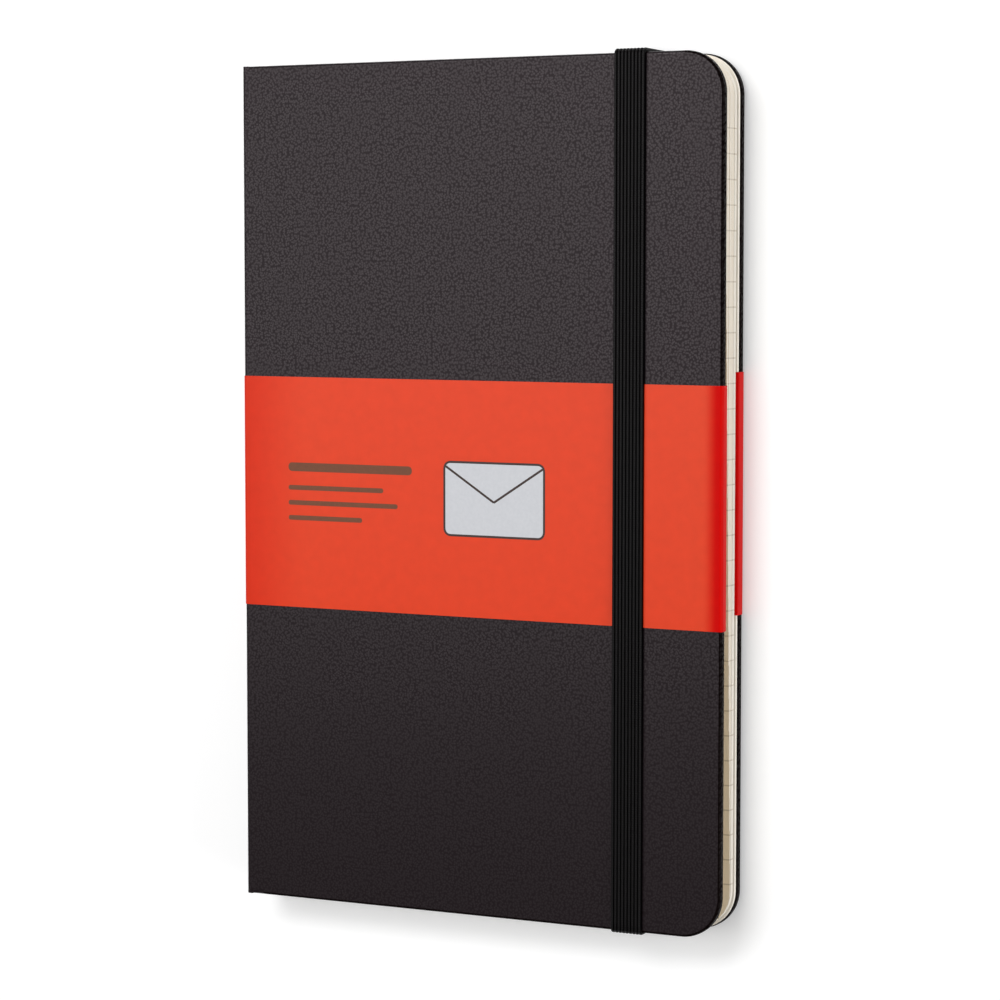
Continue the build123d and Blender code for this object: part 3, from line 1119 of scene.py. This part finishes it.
@dataclass
class RearPocket:
    """The card pocket in the back cover and its folded cloth sides."""

    bench: Bench
    cloth: float = 0.16
    margin: float = 0.02
    stations: int = 24
    crease: float = 50.0

    def dress(self) -> None:
        """Give the pocket's folded panel its finish."""
        self.bench.dress(Stock.POCKET_CARD, "pocket_panel", "pocket_edge")

    def build(self) -> None:
        """Make each gusset as one strip of cloth folded inwards."""
        half = self.cloth / 2
        for end, side in (("head", 1.0), ("tail", -1.0)):
            node = f"pocket_gusset_{end}"
            low, high = self.bench.span(node)
            y_outer, y_fold = (high.y, low.y) if side > 0 else (low.y, high.y)
            z_low = low.z + self.margin + half
            z_high = high.z - self.margin - half
            radius = (z_high - z_low) / 2
            centre_y = y_fold + side * (radius + half)
            turn = arc((0.0, (z_low + z_high) / 2), radius, -90.0, -270.0)
            fold = [(centre_y + side * u, z) for u, z in turn]
            middle = [(y_outer, z_low), *fold, (y_outer, z_high)]
            section = [*offset_right(middle, -half), *reversed(offset_right(middle, half))]
            shell = Shell()
            stations = spread(low.x, high.x, self.stations)
            shell.sweep([[(x, y, z) for y, z in section] for x in stations], Cap.LADDER)
            piece = shell.piece(f"pocket_bellows_{end}", self.crease)
            bend = Bends("back_cover", "pocket", (0.0, 0.0, z_low + half), (0.0, 0.0, z_high - half))
            self.bench.place(piece, [Stock.POCKET_CLOTH], "pocket_cloth", bend, [node])


@dataclass
class Elastic:
    """The ribbed elastic that holds the book shut."""

    bench: Bench
    ribs: int = 9
    rib_share: float = 0.8
    rib_power: float = 2.6
    rib_steps: int = 8
    groove: float = 0.38
    side_bevel: float = 0.14
    lean: float = 0.15
    edge_radius: float = 0.7
    slot_radius: float = 0.1
    end_radius: float = 0.95
    end_length: float = 12.0
    tail_pinch: float = 0.5
    wrap_start: float = 2.0
    cover_clearance: float = 0.1
    back_keep: float = 0.035
    back_level: float = 0.25
    run_keep: float = 0.922
    run_steps: int = 40
    turn_steps: int = 10
    crease: float = 60.0
    woven: tuple[Stock, ...] = (Stock.ELASTIC_RIB, Stock.ELASTIC_GROOVE_SHADE)
    low: Vector = field(init=False)
    high: Vector = field(init=False)
    x_mid: float = field(init=False)
    y_wrap: float = field(init=False)
    z_back: float = field(init=False)

    def __post_init__(self) -> None:
        """Take the tape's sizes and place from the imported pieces."""
        self.low, self.high = self.bench.span("elastic_front_run")
        self.x_mid = (self.low.x + self.high.x) / 2
        self.y_wrap = self.bench.high("front_leatherette").y - self.wrap_start
        self.z_back = self.bench.low("back_leatherette").z

    def section(self) -> list[tuple[float, float, int]]:
        """The tape's section: a flat underside and a row of round ribs.

        Returns:
            Points across the width and through the thickness, each with the finish that follows it.
        """
        width, thickness = self.high.x - self.low.x, self.high.z - self.low.z
        pitch = width / self.ribs
        flat = width / 2 - self.side_bevel
        points = [(flat, 0.0, 0), (-flat, 0.0, 0), (-width / 2, self.side_bevel, 0)]
        for rib in range(self.ribs):
            centre = (rib + 0.5) * pitch - width / 2
            for step in range(self.rib_steps + 1):
                share = 2 * step / self.rib_steps - 1
                dome = math.sqrt(1 - abs(share) ** self.rib_power)
                # Faces in and beside the grooves take the darker finish, painted shade in the grooves.
                in_groove = int(step in (0, self.rib_steps - 1, self.rib_steps))
                across = centre + share * self.rib_share * pitch / 2
                points.append((across, thickness - self.groove * (1 - dome), in_groove))
        points.append((width / 2, self.side_bevel, 0))
        return points

    def tape(self, name: str, path: Sequence[Ray], motion: Motion, node: str) -> None:
        """Sweep the section along a path in Y and Z.

        Args:
            name: The piece's name.
            path: Points on the tape's inner face, each with the outward direction there.
            motion: How the piece follows the bodies.
            node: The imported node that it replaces.
        """
        section = self.section()
        loops = []
        for (y, z), (out_y, out_z) in path:
            centre = self.x_mid + self.lean * max(-1.0, min(1.0, y / self.high.y))
            loops.append([(centre + u, y + out_y * v, z + out_z * v) for u, v, _ in section])
        shell = Shell()
        shell.sweep(loops, side_finishes=[finish for _, _, finish in section])
        self.bench.place(shell.piece(name, self.crease), self.woven, "elastic", motion, [node])

    def wrap_path(self) -> list[Ray]:
        """The way round the head, from the front cover to the back cover.

        Returns:
            Points on the tape's inner face, each with the outward direction there.
        """
        radius = self.edge_radius
        y_turn = self.bench.high("front_leatherette").y + self.cover_clearance - radius
        front = arc_rays((y_turn, self.low.z - radius), radius, 90.0, 0.0, self.turn_steps)
        back = arc_rays((y_turn, self.z_back + radius), radius, 0.0, -90.0, self.turn_steps)
        start = ((self.y_wrap, self.low.z), (0.0, 1.0))
        return [start, *front, *back, ((self.y_wrap, self.z_back), (0.0, -1.0))]

    def end_path(self) -> list[Ray]:
        """The way from the head's wrap through the slot in the back cover and along its board.

        Returns:
            Points on the tape's inner face, each with the outward direction there.
        """
        low, high = self.bench.span("elastic_end_head")
        y_riser = low.y + self.end_length
        slot = (y_riser + self.slot_radius, self.z_back + self.slot_radius)
        into_slot = arc_rays(slot, self.slot_radius, 270.0, 180.0, self.turn_steps)
        bend = (y_riser - self.end_radius, high.z - self.end_radius)
        over_board = arc_rays(bend, self.end_radius, 0.0, 90.0, self.turn_steps, -1.0)
        start = ((self.y_wrap, self.z_back), (0.0, -1.0))
        return [start, *into_slot, *over_board, ((low.y, high.z), (0.0, -1.0))]

    def build(self) -> None:
        """Make the front run, the wraps round head and tail, and the ends behind the slots."""
        shares = [2 * i / self.run_steps - 1 for i in range(self.run_steps + 1)]
        run = [((self.y_wrap * share, self.low.z), (0.0, 1.0)) for share in shares]
        anchor = (self.x_mid, 0.0, self.low.z)
        flatten = Flattens("elastic", "elastic_flip", (0.0, 1.0, 0.0), anchor, self.run_keep)
        self.tape("elastic_ribbed_run", run, flatten, "elastic_front_run")
        anchor = (self.x_mid, 0.0, self.back_level)
        flatten = Flattens("back_cover", "elastic_flip", (0.0, 0.0, 1.0), anchor, self.back_keep)
        for name, side in (("head", 1.0), ("tail", -1.0)):
            # The tape is drawn harder over the tail than over the head, so it is thinner there.
            pinch = self.tail_pinch if side < 0 else 0.0
            wrap = []
            for (y, z), (out_y, out_z) in self.wrap_path():
                kept = 1 - pinch * abs(out_y)
                wrap.append(((side * y, z), (side * out_y * kept, out_z * kept)))
            end = [((side * y, z), (side * out_y, out_z)) for (y, z), (out_y, out_z) in self.end_path()]
            self.tape(f"elastic_ribbed_wrap_{name}", wrap, flatten, f"elastic_wrap_{name}")
            self.tape(f"elastic_ribbed_end_{name}", end, Rides("back_cover"), f"elastic_end_{name}")


@dataclass(frozen=True)
class BandDesign:
    """The band's print, a plain envelope beside the rows of an address, placed from the band's middle."""

    left: float = -8.0
    low: float = -9.0
    width: float = 27.0
    height: float = 18.0
    corner: float = 1.6
    corner_steps: int = 5
    line: float = 0.55
    flap_drop: float = 9.6
    flap_inset: float = 0.4
    flap_lift: float = 0.5
    row_start: float = -52.0
    # Each row's right-hand end, height on the band and thickness.
    rows: tuple[tuple[float, float, float], ...] = (
        (-17.0, 6.4, 2.2),
        (-25.0, 1.2, 1.2),
        (-21.0, -2.6, 1.2),
        (-31.0, -6.4, 1.2),
    )
    row_round: float = 0.45

    def rounded_box(self, low: Point2, high: Point2, radius: float) -> list[Point2]:
        """A rectangle with round corners.

        Args:
            low: Its left lower corner.
            high: Its right upper corner.
            radius: Corner radius.

        Returns:
            The outline's points in order.
        """
        left, right = low[0] + radius, high[0] - radius
        below, above = low[1] + radius, high[1] - radius
        centres = ((right, above), (left, above), (left, below), (right, below))
        outline = []
        for quarter, centre in enumerate(centres):
            start = 90.0 * quarter
            outline.extend(arc(centre, radius, start, start + 90.0, self.corner_steps))
        return outline

    def bar(self, start: Point2, end: Point2) -> list[Point2]:
        """A straight printed line.

        Args:
            start: One end.
            end: The other end.

        Returns:
            The outline's four corners in order.
        """
        first, last = Vector(start), Vector(end)
        run = last - first
        side = Vector((-run.y, run.x)).normalized() * self.line / 2
        return [tuple(corner) for corner in (first - side, last - side, last + side, first + side)]

    def ground(self) -> list[list[Point2]]:
        """The pale ground of the envelope."""
        high = (self.left + self.width, self.low + self.height)
        return [self.rounded_box((self.left, self.low), high, self.corner)]

    def outline(self) -> list[list[Point2]]:
        """The envelope's outline and the fold of its flap.

        Returns:
            The outline of each printed line.
        """
        rim = self.ground()[0]
        steps = zip(rim, [*rim[1:], rim[0]])
        lines = [self.bar(a, b) for a, b in steps if (Vector(b) - Vector(a)).length > SAME_POINT]
        top = self.low + self.height
        tip = (self.left + self.width / 2, top - self.flap_drop)
        for side in (self.left + self.flap_inset, self.left + self.width - self.flap_inset):
            lines.append(self.bar((side, top - self.corner + self.flap_lift), tip))
        return lines

    def address(self) -> list[list[Point2]]:
        """The rows of an address, as plain bars of several lengths.

        Returns:
            The outline of each bar.
        """
        shapes = []
        for end, y, width in self.rows:
            low, high = (self.row_start, y - width / 2), (end, y + width / 2)
            shapes.append(self.rounded_box(low, high, self.row_round * width))
        return shapes


@dataclass
class BellyBand:
    """The paper band round the case, its folds, tucked flaps and printed design."""

    bench: Bench
    design: BandDesign = BandDesign()
    paper: float = 0.16
    fold_radius: float = 0.86
    flap_radius: float = 0.36
    spine_radius: float = 1.08
    bulge: float = 0.12
    bulge_start: float = 56.0
    bulge_top: float = 61.2
    rise_at_spine: float = 0.4
    rise_at_fore: float = -0.35
    rise_behind: float = 2.65
    flap_gap: float = 0.3
    flap_bend: Reach = (0.2, 1.1)
    flap_stop: float = 1.2
    print_height: float = 0.012
    stations: int = 6
    flat_step: float = 6.0
    flap_step: float = 4.0
    swell_step: float = 0.6
    crease: float = 40.0
    reds: tuple[Stock, ...] = (Stock.BAND, Stock.BAND_CORE)

    def rise(self, x: float, rise_at_fore: float) -> float:
        """How far the band has slipped towards the head at a place across the book.

        Args:
            x: The place.
            rise_at_fore: How far it has slipped at the fore-edge.

        Returns:
            The distance.
        """
        start, end = self.bench.low("band_spine").x, self.bench.high("band_front").x
        share = min(1.0, max(0.0, (x - start) / (end - start)))
        return self.rise_at_spine + (rise_at_fore - self.rise_at_spine) * share

    def flap_joint(self) -> float:
        """Where the rear flap lifts with the pocket."""
        return self.bench.high("band_back_flap").x + self.flap_gap

    def strip(self, name: str, outside: Sequence[Point2], rise_at_fore: float) -> bpy.types.Object:
        """Make a strip of paper whose outside follows a path in X and Z.

        Args:
            name: The piece's name.
            outside: The path, with the outside on its left.
            rise_at_fore: How far the strip has slipped towards the head at the fore-edge.

        Returns:
            The new object.
        """
        low, high = self.bench.span("band_front")
        section = [*outside, *reversed(offset_right(outside, self.paper))]
        loops = []
        for y in spread(low.y, high.y, self.stations):
            loops.append([(x, y + self.rise(x, rise_at_fore), z) for x, z in section])
        shell = Shell()
        shell.sweep(loops, Cap.LADDER, cap_finish=1)
        return shell.piece(name, self.crease)

    def across(self, x_from: float, x_to: float, z: float, step: float) -> list[Point2]:
        """Points along a flat stretch, close enough to bend and to stand off the cover."""
        count = max(1, round(abs(x_to - x_from) / step))
        return [(x, z) for x in spread(x_from, x_to, count)]

    def front_path(self) -> list[Point2]:
        """The outside of the band from the middle of the spine to the end of the front flap.

        Returns:
            The points in order.
        """
        low, high = self.bench.span("band_front")
        x_out, x_flap = self.bench.low("band_spine").x, self.bench.low("band_back_flap").x
        radius, tight, around = self.fold_radius, self.flap_radius, self.spine_radius
        x_fold = high.x - radius
        spine_turn = arc((x_out + around, high.z - around), around, 180.0, 90.0)
        flat = self.across(x_out + around, self.bulge_start, high.z, self.flat_step)[1:]
        swell = []
        for x, z in self.across(self.bulge_start, x_fold, high.z, self.swell_step)[1:-1]:
            up = smoothstep(self.bulge_start, self.bulge_top, x)
            down = smoothstep(x_fold, self.bulge_top, x)
            swell.append((x, z + self.bulge * min(up, down)))
        upper = arc((x_fold, high.z - radius), radius, 90.0, 0.0)
        lower = arc((high.x - tight, low.z + tight), tight, 0.0, -90.0)
        flap = self.across(high.x - tight, x_flap, low.z, self.flat_step)[1:]
        return [(x_out, high.z / 2), *spine_turn, *flat, *swell, *upper, *lower, *flap]

    def back_path(self) -> list[Point2]:
        """The outside of the band from the rear flap's crease to the middle of the spine.

        Returns:
            The points in order.
        """
        low, high = self.bench.span("band_back")
        x_out, z_mid = self.bench.low("band_spine").x, self.bench.high("band_front").z / 2
        radius, tight, around = self.fold_radius, self.flap_radius, self.spine_radius
        flap = self.across(self.flap_joint(), high.x - tight, high.z, self.flat_step)[:-1]
        upper = arc((high.x - tight, high.z - tight), tight, 90.0, 0.0)
        lower = arc((high.x - radius, low.z + radius), radius, 0.0, -90.0)
        flat = self.across(high.x - radius, x_out + around, low.z, self.flat_step)[1:-1]
        spine_turn = arc((x_out + around, low.z + around), around, 270.0, 180.0)
        return [*flap, *upper, *lower, *flat, *spine_turn, (x_out, z_mid)]

    def build(self) -> None:
        """Make the band's halves and the rear flap, then its print."""
        x_spine = self.bench.low("spine_leatherette").x
        x_hinge = self.bench.low("front_leatherette").x
        z_front, z_back = self.bench.high("band_front").z, self.bench.low("back_leatherette").z
        halves = (
            ("front", self.front_path(), self.rise_at_fore, z_front, -1.0, ["band_front", "band_spine"]),
            ("back", self.back_path(), self.rise_behind, z_back, 1.0, ["band_back"]),
        )
        for side, path, rise, z_face, inward, nodes in halves:
            start = (x_spine, 0.0, z_face + inward * self.spine_radius)
            bend = Bends("spine", f"{side}_cover", start, (x_hinge, 0.0, z_face))
            piece = self.strip(f"band_paper_{side}", path, rise)
            self.bench.place(piece, self.reds, "band_paper", bend, nodes)
        joint, z_flap = self.flap_joint(), self.bench.high("band_back").z
        flap = self.across(self.bench.low("band_back_flap").x, joint, z_flap, self.flap_step)
        flap.insert(-1, (joint - self.flap_stop, z_flap))
        start, end = ((joint - reach, 0.0, 0.0) for reach in self.flap_bend)
        piece = self.strip("band_paper_rear_flap", flap, self.rise_behind)
        bend = Bends("back_cover", "pocket", start, end)
        self.bench.place(piece, self.reds, "band_paper", bend, ["band_back_flap"])
        self.print_design()

    def print_design(self) -> None:
        """Print the design on the front of the band, as thin as ink."""
        low, high = self.bench.span("band_front")
        y_mid, thick = (low.y + high.y) / 2, self.print_height
        designs = (
            ("address", Stock.BROWN_INK, self.design.address(), high.z),
            ("envelope", Stock.GREY_INK, self.design.ground(), high.z),
            ("outline", Stock.BLACK_INK, self.design.outline(), high.z + thick),
        )
        for name, ink, shapes, z in designs:
            shell = Shell()
            for shape in shapes:
                placed = [(x, y_mid + y + self.rise(x, self.rise_at_fore)) for x, y in shape]
                shell.sweep([[(x, y, level) for x, y in placed] for level in (z, z + thick)])
            piece = shell.piece(f"band_print_{name}")
            self.bench.place(piece, [ink], "band_paper", Rides("front_cover"))


@dataclass(frozen=True)
class FloorPaper(Finish):
    """Pale matt paper, rolled out as a seamless floor."""

    name: str = "pale_paper_floor"
    colour: str = "#EAEAEA"
    near_glow: float = 0.27
    far_glow: float = 1.0
    glow_reach_m: Reach = (0.3, 0.9)

    def make(self) -> bpy.types.Material:
        """Make a floor that shows white and keeps the book's shadow.

        Returns:
            The material.
        """
        floor = Surface(self.name)
        matt = floor.node("BsdfDiffuse", {"Color": linear(self.colour)})
        rays = floor.node("LightPath").outputs
        shown = floor.node("Math", [rays["Is Camera Ray"], rays["Is Glossy Ray"]], operation="MAXIMUM")
        seen = floor.node("Math", [shown, rays["Is Transmission Ray"]], operation="MAXIMUM")
        # The floor is lit near the book and glows white where the lamps no longer reach it.
        place = floor.node("NewGeometry").outputs["Position"]
        away = floor.node("VectorMath", [place], operation="LENGTH")
        levels = [away, *self.glow_reach_m, self.near_glow, self.far_glow]
        glow = floor.node("MapRange", levels, interpolation_type="SMOOTHSTEP")
        share = floor.node("Math", [seen, glow], operation="MULTIPLY")
        white = floor.node("Emission", {"Strength": share})
        return floor.end(floor.node("AddShader", [matt, white]))


@dataclass(frozen=True)
class Softbox:
    """One soft light, with its places and size in metres and its power in watts."""

    name: str
    place_m: Point3
    aim_m: Point3
    size_m: Point2
    watts: float

    def hang(self) -> None:
        """Add the light to the scene."""
        light = bpy.data.lights.new(self.name, "AREA")
        light.shape = "RECTANGLE"
        light.size, light.size_y = self.size_m
        light.energy = self.watts
        lamp = bpy.data.objects.new(self.name, light)
        lamp.location = self.place_m
        facing = Vector(self.aim_m) - Vector(self.place_m)
        lamp.rotation_euler = facing.to_track_quat("-Z", "Y").to_euler()
        bpy.context.scene.collection.objects.link(lamp)


@dataclass
class Studio:
    """The pale floor, the soft lights and the camera."""

    eye: Point3 = (322.134, 49.564, 663.024)
    yaw: float = 25.912
    pitch: float = -4.083
    lens: float = 106.979
    sensor: float = 36.0
    floor_half: float = 6000.0
    paper: FloorPaper = FloorPaper()
    sky: float = 0.23
    lights: tuple[Softbox, ...] = (
        Softbox("key_softbox", (-0.5, 0.29, 1.0), (-0.5, 0.29, 0.0), (1.2, 0.9), 7.6),
        Softbox("head_softbox", (-0.15, 0.62, 1.05), (0.0, 0.0, 0.0), (0.7, 0.35), 5.2),
        Softbox("fore_edge_fill", (1.15, -0.1, 0.33), (0.0, 0.0, 0.0), (0.9, 0.7), 8.4),
    )

    def floor(self) -> None:
        """Lay the floor under the book."""
        half = self.floor_half
        shell = Shell()
        corners = ((-half, -half), (half, -half), (half, half), (-half, half))
        shell.add_face(shell.add_points((x, y, 0.0) for x, y in corners))
        plane = shell.piece("studio_floor")
        plane.data.materials.append(self.paper.make())

    def world(self) -> None:
        """Fill the room with an even white light."""
        world = bpy.data.worlds.new("studio_room")
        world.use_nodes = True
        tree = world.node_tree
        tree.nodes.clear()
        room = add_node(tree, "Background", {"Color": (1.0, 1.0, 1.0, 1.0), "Strength": self.sky})
        add_node(tree, "OutputWorld", {"Surface": room})
        bpy.context.scene.world = world

    def camera(self) -> None:
        """Set the camera at the photograph's viewing angle."""
        data = bpy.data.cameras.new("studio_camera")
        data.sensor_width = self.sensor
        data.lens = self.lens
        holder = bpy.data.objects.new("studio_camera", data)
        yaw, pitch = math.radians(self.yaw), math.radians(self.pitch)
        level = math.cos(pitch)
        forward = Vector((-math.sin(yaw) * level, math.sin(pitch), -math.cos(yaw) * level))
        right = Vector((math.cos(yaw), 0.0, -math.sin(yaw)))
        columns = (right, right.cross(forward), -forward, Vector(self.eye) * MM)
        rows = [tuple(column[i] for column in columns) for i in range(3)]
        holder.matrix_world = Matrix([*rows, (0.0, 0.0, 0.0, 1.0)])
        bpy.context.scene.collection.objects.link(holder)
        bpy.context.scene.camera = holder

    def build(self) -> None:
        """Set up the whole studio."""
        self.floor()
        self.world()
        for light in self.lights:
            light.hang()
        self.camera()
        bpy.context.scene.view_settings.view_transform = "Standard"


def main() -> None:
    """Build the book's sub-assemblies in order and set up the studio."""
    logging.basicConfig(level=logging.INFO, format="%(name)s: %(message)s")
    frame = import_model()
    bench = Bench(frame["nodes"])
    case = Case(bench)
    case.dress()
    case.build()
    pocket = RearPocket(bench)
    pocket.dress()
    pocket.build()
    LeafBlock(bench).build()
    RibbonMarker(bench).build()
    Elastic(bench).build()
    BellyBand(bench).build()
    Studio().build()


if __name__ == "__main__":
    main()
